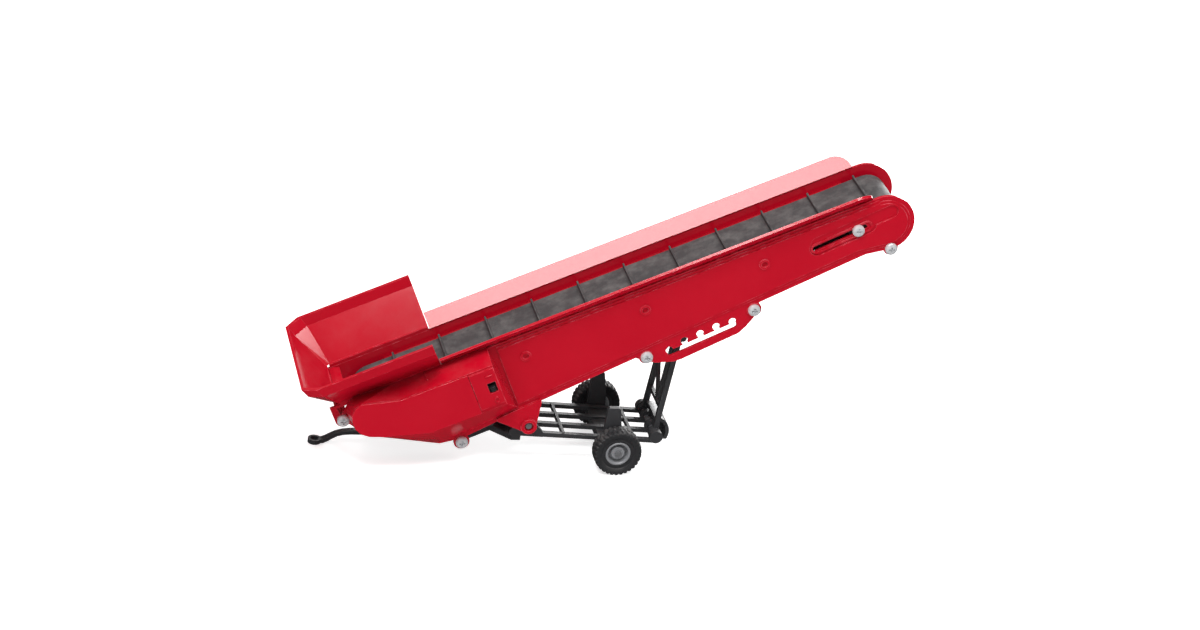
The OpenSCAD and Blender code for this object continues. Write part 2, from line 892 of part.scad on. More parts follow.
module axle_carrier() {
    color(grey)
        difference() {
            union() {
                translate([axle_x - 9, -tower_y, axle_z - 3.4])
                    cube([13, 2 * tower_y, 3.4 + carrier_h]);
                for (y = [-tower_y, tower_y - 3.4])
                    plate(y, 3.4)
                        union() {
                            polygon([
                                [axle_x - 9, axle_z - 3.4], [axle_x + 4.6, axle_z - 3.4], [axle_x + 3.6, axle_z + 9],
                                [axle_x + 0.6, axle_z + 26.6], [axle_x - 0.4, axle_z + 27.4],
                                [axle_x - 6.8, axle_z + 27.4], [axle_x - 7.8, axle_z + 26.4]
                            ]);
                        }
                for (s = [-1, 1])
                    rod(axle_x, axle_z, 3.2, s > 0 ? tower_y - 3 : -tower_y - 1.8, s > 0 ? tower_y + 1.8 : -tower_y + 3);
            }
            rod(axle_x, axle_z, axle_r, -tower_y - 5, tower_y + 5);
        }
}

module rear_guard() {
    color(grey)
        difference() {
            union() {
                plate(-11.4, 22.8)
                    difference() {
                        translate([strut_x, strut_z - 2])
                            circle(r = 11.4, $fn = 64);
                        translate([strut_x, strut_z - 2])
                            circle(r = 9.2, $fn = 64);
                        translate([strut_x - 20, strut_z - 20])
                            square([20, 40]);
                        translate([strut_x - 1, strut_z - 30])
                            square([20, 23]);
                    }
                for (y = [-4.6, 2.6])
                    plate(y, 2)
                        polygon([
                            [strut_x, strut_z - 3], [strut_x + 9.6, strut_z - 3],
                            [strut_x + 9, strut_z + 1.5], [strut_x, strut_z + 9]
                        ]);
            }
            rod(strut_x, strut_z, 2, -14, 14);
        }
}

module wheel_axle() {
    end = wheel_y + tyre_w / 2 - 1.1;
    color(steel) {
        rod(axle_x, axle_z, axle_r, -end, end);
        rod(axle_x, axle_z, 2.2, end, end + 0.9);
        rod(axle_x, axle_z, 2.2, -end - 0.9, -end);
    }
}

module tilt_pin() {
    color(steel)
        rod(pivot_x, pivot_z, 2, -yi - 3.9, yi + 3.9);
}

module strut_pin() {
    color(steel)
        rod(strut_x, strut_z, 2, -rail_y - 0.8, rail_y + 0.8);
}

// Rim centred on y with its open face towards +Y.
module rim() {
    e = tyre_w / 2;
    translate([axle_x, 0, axle_z])
        rotate([-90, 0, 0])
            rotate_extrude($fn = 64)
                polygon([
                    [axle_r + run_c, 1.6 - e], [rim_r - 1, 1.2 - e], [rim_r - 1, 0.6 - e], [rim_r, 0.9 - e],
                    [rim_r, e - 0.9], [rim_r - 0.5, e - 0.4], [rim_r - 1.1, e - 0.6], [rim_r - 1.7, e - 1.4],
                    [rim_r - 2.2, e - 4.4], [rim_r - 3.5, e - 5], [rim_r - 3.7, e - 2.2], [rim_r - 4.3, e - 1.6],
                    [axle_r + run_c, e - 1.6]
                ]);
}

// Tyre with two staggered rows of tread blocks.
module tyre() {
    e = tyre_w / 2;
    r = tyre_d / 2 - 0.9;
    translate([axle_x, 0, axle_z])
        rotate([-90, 0, 0]) {
            rotate_extrude($fn = 64)
                polygon([
                    [rim_r, 0.9 - e], [rim_r + 0.5, 0.2 - e], [rim_r + 1.6, -e], [r - 2, 0.1 - e], [r - 0.5, 0.9 - e],
                    [r, 2 - e], [r, e - 2], [r - 0.5, e - 0.9], [r - 2, e - 0.1], [rim_r + 1.6, e],
                    [rim_r + 0.5, e - 0.2], [rim_r, e - 0.9]
                ]);
            for (i = [0:tread_n - 1])
                for (s = [-1, 1])
                    rotate(360 * (i + (s > 0 ? 0.5 : 0)) / tread_n)
                        translate([r - 1.2, 0, s * e * 0.5])
                            rotate([s * 18, 0, 0])
                                translate([0, -1.35, -e * 0.36])
                                    cube([2.1, 2.7, e * 0.72]);
        }
}

module rim_far() {
    color(steel)
        translate([0, wheel_y, 0])
            rim();
}

module rim_near() {
    color(steel)
        mirror([0, 1, 0])
            translate([0, wheel_y, 0])
                rim();
}

module tyre_far() {
    color(rubber)
        translate([0, wheel_y, 0])
            tyre();
}

module tyre_near() {
    color(rubber)
        mirror([0, 1, 0])
            translate([0, wheel_y, 0])
                tyre();
}

// ---------- strut ----------

// Straight brace in the strut's plane between two [y, s] points.
module brace(a, b, w, t) {
    d = b - a;
    translate([-t / 2, a[0], a[1]])
        rotate([atan2(d[1], d[0]), 0, 0])
            translate([0, 0, -w / 2])
                cube([t, norm(d), w]);
}

module strut_frame() {
    color(grey)
        translate([strut_x, 0, strut_z])
            rotate([0, strut_a, 0])
                difference() {
                    union() {
                        for (s = [-1, 1]) {
                            rod(0, 0, 4.1, s > 0 ? leg_y - leg_w / 2 : -leg_y - leg_w / 2, s > 0 ? leg_y + leg_w / 2 : -leg_y + leg_w / 2);
                            translate([-1.7, s * leg_y - 1.7, 0])
                                cube([3.4, 3.4, strut_l]);
                            rod(0, strut_l, 3.6, s > 0 ? leg_y - leg_w / 2 : -leg_y - leg_w / 2, s > 0 ? leg_y + leg_w / 2 : -leg_y + leg_w / 2);
                        }
                        brace([-leg_y, 19], [leg_y, 19], 2.6, 2.6);
                        brace([-leg_y, strut_l - 6], [leg_y, strut_l - 6], 2.6, 2.6);
                        brace([-6, 19], [-6, strut_l - 6], 2.2, 2.4);
                        brace([-5, 20], [leg_y - 1, 42], 2.2, 2.4);
                        brace([leg_y - 1, 42], [-5, strut_l - 7], 2.2, 2.4);
                    }
                    rod(0, 0, 2 + run_c, -30, 30);
                    rod(0, strut_l, lock_r, -30, 30);
                }
}

module lock_bar() {
    color(grey)
        translate([strut_x, 0, strut_z])
            rotate([0, strut_a, 0])
                rod(0, strut_l, lock_r, -yi + side_c, yi - side_c);
}

chassis_frame();
drawbar();
axle_carrier();
rear_guard();
wheel_axle();
tilt_pin();
strut_pin();
rim_near();
tyre_near();
rim_far();
tyre_far();
strut_frame();
lock_bar();
panel_near();
panel_far();
belt_deck();
tie_tube(0);  // tie_tube_1
tie_tube(1);  // tie_tube_2
tie_tube(2);  // tie_tube_3
spacer(0);  // spacer_1
spacer(1);  // spacer_2
spacer(2);  // spacer_3
spacer(3);  // spacer_4
spacer(4);  // spacer_5
screw_near(0);  // screw_near_1
screw_near(1);  // screw_near_2
screw_near(2);  // screw_near_3
screw_near(3);  // screw_near_4
screw_near(4);  // screw_near_5
screw_far(0);  // screw_far_1
screw_far(1);  // screw_far_2
screw_far(2);  // screw_far_3
screw_far(3);  // screw_far_4
screw_far(4);  // screw_far_5
tension_screw_near();
tension_screw_far();
tension_plate_near();
tension_plate_far();
belt();
drive_roller();
drive_pulley();
head_shaft();
head_roller();
hopper();
tail_cover();
pod_body();
battery_door();
switch_body();
switch_slider();
cell(cell_w[0]);  // cell_lower
cell(cell_w[1]);  // cell_upper
contacts(cell_u - 3.2, 3);  // contacts_tail
contacts(cell_u + cell_l + 1.1, 1);  // contacts_head
motor();
motor_mount();
motor_pulley();
drive_band();
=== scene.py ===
"""Dresses a toy belt conveyor: moulded red shells, satin grey frame, rubber belt and tyres, plated screws."""

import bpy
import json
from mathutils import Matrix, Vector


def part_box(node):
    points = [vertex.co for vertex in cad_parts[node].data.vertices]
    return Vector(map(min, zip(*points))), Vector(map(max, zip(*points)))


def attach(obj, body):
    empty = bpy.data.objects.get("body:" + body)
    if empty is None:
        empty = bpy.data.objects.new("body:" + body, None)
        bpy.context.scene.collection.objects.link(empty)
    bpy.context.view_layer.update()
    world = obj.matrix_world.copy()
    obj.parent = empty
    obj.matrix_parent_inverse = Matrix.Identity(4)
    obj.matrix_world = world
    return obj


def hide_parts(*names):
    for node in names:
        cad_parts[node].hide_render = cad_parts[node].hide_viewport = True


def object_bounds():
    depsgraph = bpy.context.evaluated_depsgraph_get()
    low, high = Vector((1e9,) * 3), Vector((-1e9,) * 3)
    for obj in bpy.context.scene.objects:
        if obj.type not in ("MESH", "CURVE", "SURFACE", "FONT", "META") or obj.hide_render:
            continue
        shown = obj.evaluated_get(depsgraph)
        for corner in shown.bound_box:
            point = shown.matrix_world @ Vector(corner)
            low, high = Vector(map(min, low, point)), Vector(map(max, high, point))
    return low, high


bl_info = {
    "name": "Toy belt conveyor",
    "version": (1, 0, 0),
    "blender": (4, 5, 0),
    "location": "View3D > Sidebar > Conveyor",
    "description": "Gives the conveyor's pieces their finishes and detail, and sets a plain studio round it",
    "category": "Object",
}

import json
import math

import bmesh
import bpy
from bpy.props import FloatProperty, FloatVectorProperty, IntProperty, PointerProperty
from bpy.types import Operator, Panel, PropertyGroup
from mathutils import Matrix, Vector

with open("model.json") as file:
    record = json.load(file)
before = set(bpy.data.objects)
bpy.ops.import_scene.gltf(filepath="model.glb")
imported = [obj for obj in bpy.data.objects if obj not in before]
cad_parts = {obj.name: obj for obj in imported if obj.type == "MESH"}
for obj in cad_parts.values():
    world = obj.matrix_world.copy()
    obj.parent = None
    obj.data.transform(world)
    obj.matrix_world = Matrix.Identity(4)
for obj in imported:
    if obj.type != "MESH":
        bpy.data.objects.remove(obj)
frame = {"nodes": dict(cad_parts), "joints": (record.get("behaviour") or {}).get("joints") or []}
CAD_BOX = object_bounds()
MM = 0.001
JOINTS = {joint["name"]: joint for joint in frame["joints"]}


def joint_point(name):
    """Where a joint's axis stands at rest, in metres."""
    return Vector(JOINTS[name]["pos_m"])


def middle(node):
    """Centre of a part's box."""
    low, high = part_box(node)
    return (low + high) / 2


# Axes of the conveyor at rest: up the belt, across it and square to its face.
UP_BELT = -Vector(JOINTS["battery_door_slide"]["axis"])
OFF_BELT = Vector(JOINTS["switch_slide"]["axis"])
ACROSS = Vector((0, 1, 0))
TAIL_AXIS = joint_point("drive_roller_spin")
HEAD_AXIS = joint_point("head_roller_spin")
TILT_AXIS = joint_point("conveyor_tilt")


def on_conveyor(up, across, off):
    """Point given up the belt, across it and off it from the tilt pivot, in metres."""
    return TILT_AXIS + UP_BELT * up + ACROSS * across + OFF_BELT * off


def conveyor_place(point):
    """The opposite of on_conveyor."""
    d = point - TILT_AXIS
    return d.dot(UP_BELT), d.dot(ACROSS), d.dot(OFF_BELT)


# ---------- settings ----------


def colour(name, value, text):
    """Colour property with its four channels."""
    channels = {"subtype": "COLOR", "size": 4, "min": 0, "max": 1, "default": (*value, 1)}
    return FloatVectorProperty(name=name, description=text, **channels)


def share(name, value, text):
    """Property that runs from 0 to 1."""
    return FloatProperty(name=name, default=value, min=0, max=1, subtype="FACTOR", description=text)


def length(name, value, text):
    """Length property in metres."""
    return FloatProperty(name=name, default=value, min=0, precision=5, unit="LENGTH", description=text)


def watts(name, value, text):
    """Power of a light."""
    return FloatProperty(name=name, default=value, min=0, unit="POWER", description=text)


class ShellSettings(PropertyGroup):
    """Red moulded shells"""

    red: colour("Red", (0.45, 0.0035, 0.0155), "Colour of the outer shells")
    inner_red: colour("Inner red", (0.36, 0.003, 0.012), "Colour of the pieces between the panels")
    # Pale pink put on the shells' edges: partly wear, partly a painted highlight on edges and ridges.
    worn_and_highlit: colour("Worn and highlit", (0.78, 0.15, 0.19), "Colour that handled edges wear to")
    gloss: share("Roughness", 0.12, "Surface roughness of the shells")
    edge: length("Edge radius", 0.28 * MM, "Rounding of the moulded edges")


class FrameSettings(PropertyGroup):
    """Grey chassis, strut and rims"""

    grey: colour("Grey", (0.036, 0.036, 0.039), "Colour of the chassis and strut")
    # Lighter grey put on the frame's edges: partly wear, partly a painted edge highlight.
    worn_and_highlit: colour("Worn and highlit", (0.16, 0.16, 0.165), "Colour that its edges wear to")
    rim: colour("Rim", (0.2, 0.204, 0.215), "Colour of the wheel rims")
    black: colour("Black", (0.014, 0.014, 0.015), "Colour of the switch and rollers")
    gloss: share("Roughness", 0.42, "Surface roughness of the chassis")
    edge: length("Edge radius", 0.3 * MM, "Rounding of the frame's edges")


class RubberSettings(PropertyGroup):
    """Belt, band and tyres"""

    belt: colour("Belt", (0.056, 0.053, 0.054), "Colour of the belt")
    tyre: colour("Tyre", (0.02, 0.02, 0.022), "Colour of the tyres")
    lugs: IntProperty(name="Lugs", default=30, min=8, max=48, description="Tread blocks in each row of a tyre")
    lug_height: length("Lug height", 0.6 * MM, "Depth of the tread")
    thickness: length("Belt thickness", 1.2 * MM, "Thickness of the belt between its cleats")
    gap: length("Roller gap", 0.05 * MM, "Gap between the belt and its rollers")
    cleats: IntProperty(name="Cleats", default=24, min=8, max=40, description="Cleats round the belt")
    cleat_height: length("Cleat height", 2.95 * MM, "Height of a cleat above the belt")
    first_cleat: length("First cleat", 19.5 * MM, "Way up the belt from the drive roller to the first cleat")


class MetalSettings(PropertyGroup):
    """Screws, pins and electrical parts"""

    plating: colour("Plating", (0.83, 0.84, 0.86), "Colour of the plated screws")
    steel: colour("Steel", (0.52, 0.52, 0.54), "Colour of pins, shafts and the motor")
    sleeve: colour("Sleeve", (0.03, 0.11, 0.06), "Colour of the cells' sleeve")


class StudioSettings(PropertyGroup):
    """Floor and light"""

    floor: colour("Floor", (0.86, 0.86, 0.86), "Colour of the floor")
    sky: FloatProperty(name="Surround", default=0.62, min=0, description="Brightness of the surround")
    sheen: share("Sheen", 0.04, "Brightness of the surround and floor in reflections")
    key: watts("Key light", 11, "Power of the overhead softbox")
    top: watts("Top light", 2.5, "Power of the small top softbox")
    edge: watts("Edge light", 3.5, "Power of the thin top softbox")
    back: watts("Back light", 16, "Power of the low softbox behind")
    fill: watts("Fill light", 1.2, "Power of the front softbox")


class ConveyorSettings(PropertyGroup):
    """All settings of the conveyor"""

    shell: PointerProperty(type=ShellSettings)
    frame: PointerProperty(type=FrameSettings)
    rubber: PointerProperty(type=RubberSettings)
    metal: PointerProperty(type=MetalSettings)
    studio: PointerProperty(type=StudioSettings)


# ---------- shader effects ----------


def add(tree, kind, inputs=(), **properties):
    """New shader node with its inputs set or linked."""
    node = tree.nodes.new(kind if kind.startswith("NodeGroup") else "ShaderNode" + kind)
    for key, value in properties.items():
        setattr(node, key, value)
    for key, value in dict(inputs).items():
        if isinstance(value, bpy.types.NodeSocket):
            tree.links.new(value, node.inputs[key])
        else:
            node.inputs[key].default_value = value
    return node


def maths(tree, operation, a, b=0.0, clamp=False):
    """Output of a Math node."""
    return add(tree, "Math", {0: a, 1: b}, operation=operation, use_clamp=clamp).outputs[0]


def mixed(tree, amount, a, b):
    """Colour between a and b."""
    return add(tree, "Mix", {0: amount, 6: a, 7: b}, data_type="RGBA").outputs[2]


def new_effect(name, inputs, outputs):
    """Empty node group with named sockets: its tree, what comes in and what goes out."""
    tree = bpy.data.node_groups.new(name, "ShaderNodeTree")
    for label, kind, default in inputs:
        socket = tree.interface.new_socket(label, in_out="INPUT", socket_type="NodeSocket" + kind)
        if default is not None:
            socket.default_value = default
    for label, kind in outputs:
        tree.interface.new_socket(label, in_out="OUTPUT", socket_type="NodeSocket" + kind)
    return tree, tree.nodes.new("NodeGroupInput").outputs, tree.nodes.new("NodeGroupOutput").inputs


def make_worn_and_highlit_edges():
    """Mask of the edges that take a paler colour: partly wear from hands and knocks, partly a painted highlight
    along edges and ridges.
    """
    tree, given, out = new_effect(
        "Rubbed edges",
        [("Vector", "Vector", None), ("Radius", "Float", 0.0006), ("Amount", "Float", 0.5)],
        [("Mask", "Float")],
    )
    soft = add(tree, "Bevel", {"Radius": given["Radius"]}, samples=6)
    true = add(tree, "NewGeometry")
    same = add(tree, "VectorMath", {0: soft.outputs[0], 1: true.outputs["Normal"]}, operation="DOT_PRODUCT")
    turned = maths(tree, "SUBTRACT", 1.0, same.outputs["Value"])
    edge = maths(tree, "MULTIPLY", turned, 7.0, clamp=True)
    patches = add(tree, "TexNoise", {"Vector": given["Vector"], "Scale": 170, "Detail": 4, "Roughness": 0.6})
    broken = add(tree, "MapRange", {0: patches.outputs[0], 1: 0.4, 2: 0.68})
    mask = maths(tree, "MULTIPLY", edge, broken.outputs[0])
    tree.links.new(maths(tree, "MULTIPLY", mask, given["Amount"], clamp=True), out["Mask"])
    return tree


def make_moulded_grain():
    """Fine unevenness of a moulded surface: a height in metres and a slow drift of tone."""
    tree, given, out = new_effect(
        "Moulded grain",
        [("Vector", "Vector", None), ("Scale", "Float", 900), ("Depth", "Float", 0.00002)],
        [("Height", "Float"), ("Tone", "Float"), ("Speckle", "Float")],
    )
    fine = add(tree, "TexNoise", {"Vector": given["Vector"], "Scale": given["Scale"], "Detail": 3})
    flow = add(tree, "TexNoise", {"Vector": given["Vector"], "Scale": 26, "Detail": 2, "Distortion": 0.7})
    swell = maths(tree, "MULTIPLY", flow.outputs[0], 2.2)
    height = maths(tree, "MULTIPLY", maths(tree, "ADD", fine.outputs[0], swell), given["Depth"])
    tree.links.new(height, out["Height"])
    tree.links.new(flow.outputs[0], out["Tone"])
    tree.links.new(fine.outputs[0], out["Speckle"])
    return tree


def make_settled_dust():
    """Mask of dust that has settled on faces that look up."""
    tree, given, out = new_effect(
        "Settled dust",
        [("Vector", "Vector", None), ("Amount", "Float", 0.1), ("Scale", "Float", 60)],
        [("Mask", "Float")],
    )
    facing = add(tree, "TexCoord").outputs["Normal"]
    upward = add(tree, "SeparateXYZ", {0: facing}).outputs["Z"]
    lying = add(tree, "MapRange", {0: upward, 1: 0.1, 2: 0.95})
    noise = {"Vector": given["Vector"], "Scale": given["Scale"], "Detail": 6, "Roughness": 0.7}
    clouds = add(tree, "TexNoise", noise)
    drift = add(tree, "MapRange", {0: clouds.outputs[0], 1: 0.42, 2: 0.75})
    mask = maths(tree, "MULTIPLY", lying.outputs[0], drift.outputs[0])
    tree.links.new(maths(tree, "MULTIPLY", mask, given["Amount"], clamp=True), out["Mask"])
    return tree


def make_cloth_print():
    """Weave that a rubber sheet has taken from its backing: a height and a tone."""
    tree, given, out = new_effect(
        "Cloth print",
        [("Vector", "Vector", None), ("Pitch", "Float", 0.0008), ("Depth", "Float", 0.00003)],
        [("Height", "Float"), ("Tone", "Float")],
    )
    slope = math.atan2(UP_BELT.z, UP_BELT.x)
    turn = add(tree, "Mapping", {"Vector": given["Vector"], "Rotation": (0, slope, 0)}, vector_type="TEXTURE")
    axes = add(tree, "SeparateXYZ", {0: turn.outputs[0]}).outputs
    turns = maths(tree, "DIVIDE", 2 * math.pi, given["Pitch"])
    warp = maths(tree, "SINE", maths(tree, "MULTIPLY", axes["X"], turns))
    weft = maths(tree, "SINE", maths(tree, "MULTIPLY", axes["Y"], turns))
    weave = maths(tree, "MULTIPLY", warp, weft)
    tree.links.new(maths(tree, "MULTIPLY", weave, given["Depth"]), out["Height"])
    tree.links.new(maths(tree, "MULTIPLY_ADD", weave, 0.5), out["Tone"])
    return tree


EFFECTS = {
    "edges": make_worn_and_highlit_edges,
    "grain": make_moulded_grain,
    "dust": make_settled_dust,
    "weave": make_cloth_print,
}
made_effects = {}


def effect(tree, name, **values):
    """One of the shared effects placed in a material, with its own values."""
    if name not in made_effects:
        made_effects[name] = EFFECTS[name]()
    place = add(tree, "TexCoord").outputs["Object"]
    group = tree.nodes.new("ShaderNodeGroup")
    group.node_tree = made_effects[name]
    tree.links.new(place, group.inputs["Vector"])
    for label, value in values.items():
        group.inputs[label].default_value = value
    return group.outputs


# ---------- materials ----------

DUST = (0.6, 0.56, 0.53, 1)
WEAVE_PITCH = 0.7 * MM
materials = {}


def new_material(name, **plain):
    """Material with an empty tree but for its shader, whose plain values are set on its own sockets."""
    material = bpy.data.materials.new(name)
    material.use_nodes = True
    shader = material.node_tree.nodes["Principled BSDF"]
    for label, value in plain.items():
        shader.inputs[label.replace("_", " ")].default_value = value
    materials[name] = material
    return material.node_tree, shader


def moulded(name, paint, worn_and_highlit, roughness, grain=1100, depth=0.006 * MM, dust=0.03, wear_and_highlight=0.5, **plain):
    """Moulded plastic: fine grain, drifting tone, paler edges that are partly wear and partly a painted
    highlight, and a little dust.
    """
    tree, shader = new_material(name, **plain)
    surface = effect(tree, "grain", Scale=grain, Depth=depth)
    edges = effect(tree, "edges", Radius=0.5 * MM, Amount=wear_and_highlight)
    dusty = effect(tree, "dust", Amount=dust)
    deep = (*(channel * 0.86 for channel in paint[:3]), 1)
    body = mixed(tree, surface["Tone"], deep, tuple(paint))
    # Paler colour along the edges: partly wear, partly a painted edge highlight.
    body = mixed(tree, edges["Mask"], body, tuple(worn_and_highlit))
    body = mixed(tree, dusty["Mask"], body, DUST)
    drift = add(tree, "MapRange", {0: surface["Tone"], 3: roughness - 0.03, 4: roughness + 0.04})
    worn = maths(tree, "MULTIPLY_ADD", dusty["Mask"], 0.5)
    tree.links.new(drift.outputs[0], worn.node.inputs[2])
    bump = add(tree, "Bump", {"Height": surface["Height"], "Distance": 1.0, "Strength": 1.0})
    tree.links.new(body, shader.inputs["Base Color"])
    tree.links.new(worn, shader.inputs["Roughness"])
    tree.links.new(bump.outputs[0], shader.inputs["Normal"])
    return materials[name]


def rubber(name, paint, roughness, weave=None, dust=0.15):
    """Matte rubber: speckled, dusty, with a cloth print where the sheet has one."""
    tree, shader = new_material(name, Specular_IOR_Level=0.35)
    surface = effect(tree, "grain", Scale=1500, Depth=0.012 * MM)
    dusty = effect(tree, "dust", Amount=dust, Scale=90)
    deep = (*(channel * 0.72 for channel in paint[:3]), 1)
    pale = (*(channel * 1.25 for channel in paint[:3]), 1)
    body = mixed(tree, surface["Speckle"], deep, pale)
    height = surface["Height"]
    if weave:
        cloth = effect(tree, "weave", Pitch=weave, Depth=0.02 * MM)
        height = maths(tree, "ADD", height, cloth["Height"])
    body = mixed(tree, dusty["Mask"], body, DUST)
    drift = add(tree, "MapRange", {0: surface["Tone"], 3: roughness - 0.08, 4: roughness + 0.08})
    bump = add(tree, "Bump", {"Height": height, "Distance": 1.0})
    tree.links.new(body, shader.inputs["Base Color"])
    tree.links.new(drift.outputs[0], shader.inputs["Roughness"])
    tree.links.new(bump.outputs[0], shader.inputs["Normal"])
    return materials[name]


def metal(name, paint, roughness, scratch=0.4, plated=1.0):
    """Plated or turned metal with fine handling marks."""
    tree, shader = new_material(name, Metallic=plated)
    surface = effect(tree, "grain", Scale=2600, Depth=0.003 * MM)
    dull = (*(channel * 0.78 for channel in paint[:3]), 1)
    body = mixed(tree, surface["Tone"], dull, tuple(paint))
    place = add(tree, "TexCoord").outputs["Object"]
    marks = add(tree, "TexNoise", {"Vector": place, "Scale": 420, "Detail": 8, "Roughness": 0.8})
    smooth, worn = roughness * (1 - scratch), roughness * (1 + scratch)
    rough = add(tree, "MapRange", {0: marks.outputs[0], 3: smooth, 4: worn})
    bump = add(tree, "Bump", {"Height": surface["Height"], "Distance": 1.0})
    tree.links.new(body, shader.inputs["Base Color"])
    tree.links.new(rough.outputs[0], shader.inputs["Roughness"])
    tree.links.new(bump.outputs[0], shader.inputs["Normal"])
    return materials[name]


# ---------- carried-over parts ----------


def nodes_named(*starts):
    """Names of the parts that begin with any of the given words."""
    return [name for name in frame["nodes"] if name.startswith(starts)]


# Points closer than SAME_POINT are joined, faces closer in angle than SAME_FACE are merged, and edges that turn
# less than DULL_EDGE aren't rounded.
SAME_POINT = 0.002 * MM
SAME_FACE = math.radians(0.6)
DULL_EDGE = math.radians(20)


def dress(names, material, edge=0.0):
    """Gives parts their material, and rounds their edges where edge is a radius."""
    for name in names:
        part = frame["nodes"][name]
        part.data.materials.clear()
        part.data.materials.append(material)
        if not edge:
            continue
        weld = part.modifiers.new("Weld", "WELD")
        weld.merge_threshold = SAME_POINT
        flats = part.modifiers.new("Flats", "DECIMATE")
        flats.decimate_type = "DISSOLVE"
        flats.angle_limit = SAME_FACE
        bevel = part.modifiers.new("Edges", "BEVEL")
        bevel.width = edge
        bevel.segments = 2
        bevel.limit_method = "ANGLE"
        bevel.angle_limit = DULL_EDGE
        bevel.use_clamp_overlap = True
        bevel.miter_outer = "MITER_ARC"
        normals = part.modifiers.new("Normals", "WEIGHTED_NORMAL")
        normals.keep_sharp = False


# ---------- made pieces ----------


def finish_piece(name, mesh, body, material):
    """Links a finished bmesh as a piece that rides on a body."""
    data = bpy.data.meshes.new(name)
    bmesh.ops.recalc_face_normals(mesh, faces=mesh.faces)
    mesh.to_mesh(data)
    mesh.free()
    for polygon in data.polygons:
        polygon.use_smooth = True
    data.materials.append(material)
    piece = bpy.data.objects.new(name, data)
    bpy.context.scene.collection.objects.link(piece)
    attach(piece, body)
    return piece


def ring_of_rings(mesh, rings, closed):
    """Skins a list of closed rings of points, joining the last to the first where closed."""
    made = [[mesh.verts.new(point) for point in ring] for ring in rings]
    pairs = zip(made, made[1:] + (made[:1] if closed else []))
    for a, b in pairs:
        for i in range(len(a)):
            j = (i + 1) % len(a)
            mesh.faces.new((a[i], a[j], b[j], b[i]))
    if not closed:
        mesh.faces.new(reversed(made[0]))
        mesh.faces.new(made[-1])


def smoothstep(low, high, x):
    """0 below low, 1 above high, and smooth between."""
    t = min(max((x - low) / (high - low), 0), 1)
    return t * t * (3 - 2 * t)


# How much higher the middle of a tyre's tread is than its shoulders.
CROWN = 0.15 * MM


def build_tyre(node, wheel_joint, body, settings):
    """Lugged tyre with moulded sidewalls, in the place of its plain part."""
    low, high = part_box(node)
    centre = joint_point(wheel_joint)
    centre.y = (low.y + high.y) / 2
    half = (high.y - low.y) / 2
    outer = (high.z - low.z) / 2
    rim_low, rim_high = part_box(node.replace("tyre", "rim"))
    bore = (rim_high.z - rim_low.z) / 2
    wall = outer - settings.lug_height - CROWN
    outward = 1 if centre.y > 0 else -1
    rings = []
    steps = settings.lugs * 14
    for step in range(steps):
        turn = 2 * math.pi * step / steps
        ring = []
        for radius, side in tyre_section(bore, wall, half):
            tread = side / half
            grip = lug(turn, tread, settings.lugs) * smoothstep(wall - 2.6 * MM, wall - 0.5 * MM, radius)
            radius += settings.lug_height * grip
            side += math.copysign(0.18 * MM, side) * grip * smoothstep(0.8, 0.95, abs(tread))
            ring.append(centre + Vector((radius * math.cos(turn), outward * side, radius * math.sin(turn))))
        rings.append(ring)
    mesh = bmesh.new()
    ring_of_rings(mesh, rings, closed=True)
    tyre = finish_piece("lugged_" + node, mesh, body, materials["Tyre rubber"])
    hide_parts(node)


def tyre_section(bore, wall, half):
    """Section of the tyre as (radius, side) points round one closed loop, with ribs on the sidewalls."""
    tread = [i / 9 for i in range(-9, 10)]
    points = [(wall + CROWN * math.cos(math.pi * t / 2), half * 0.8 * t) for t in tread]
    side_steps = 22
    for k in range(1, side_steps):
        t = k / side_steps
        radius = wall - (wall - bore) * t
        bulge = math.sin(math.pi * min(t * 1.25 + 0.28, 1.0)) ** 0.5
        rib = 0.16 * MM * (smoothstep(0.5, 0.53, t) - smoothstep(0.6, 0.63, t))
        rib += 0.14 * MM * (smoothstep(0.8, 0.83, t) - smoothstep(0.9, 0.93, t))
        points.append((radius, half * (0.82 + 0.16 * bulge) + rib))
    points.append((bore, half * 0.8))
    points += [(bore, half * 0.8 * (1 - k / 4)) for k in range(1, 8)]
    points.append((bore, -half * 0.8))
    points += [(radius, -side) for radius, side in reversed(points[19:19 + side_steps - 1])]
    return points


def lug(turn, tread, count):
    """How far a tread block stands up at a place on the tyre, from 0 to 1."""
    row = 0.5 if tread > 0 else 0.0
    phase = (turn / (2 * math.pi) * count + row + abs(tread) * 0.28) % 1.0
    along = smoothstep(0.14, 0.24, phase) - smoothstep(0.76, 0.86, phase)
    return along * smoothstep(0.05, 0.13, abs(tread))


def loop_place(way, radius, span):
    """Place on a loop round both rollers: up the belt, off it, and the outward direction there."""
    arc = math.pi * radius
    way %= 2 * (span + arc)
    if way < span:
        return Vector((way, 0)), Vector((0, 1))
    if way < span + arc:
        turn = (way - span) / radius
        return Vector((span, 0)), Vector((math.sin(turn), math.cos(turn)))
    if way < 2 * span + arc:
        return Vector((2 * span + arc - way, 0)), Vector((0, -1))
    turn = (way - 2 * span - arc) / radius
    return Vector((0, 0)), Vector((-math.sin(turn), -math.cos(turn)))


# Edges of the belt that turn more than this are shaded as sharp.
BELT_CREASE = math.radians(35)

# How far the slack belt's waves sink.
WAVE_DEPTH = 0.1 * MM

# A cleat's profile in millimetres along the belt, with its share of the full height.
CLEAT_PROFILE = (
    (-2.6, 0), (-1.35, 0), (-1.0, 0.05), (-0.8, 0.3), (-0.66, 0.86), (-0.42, 1),
    (0.42, 1), (0.66, 0.86), (0.8, 0.3), (1.0, 0.05), (1.35, 0), (2.6, 0),
)


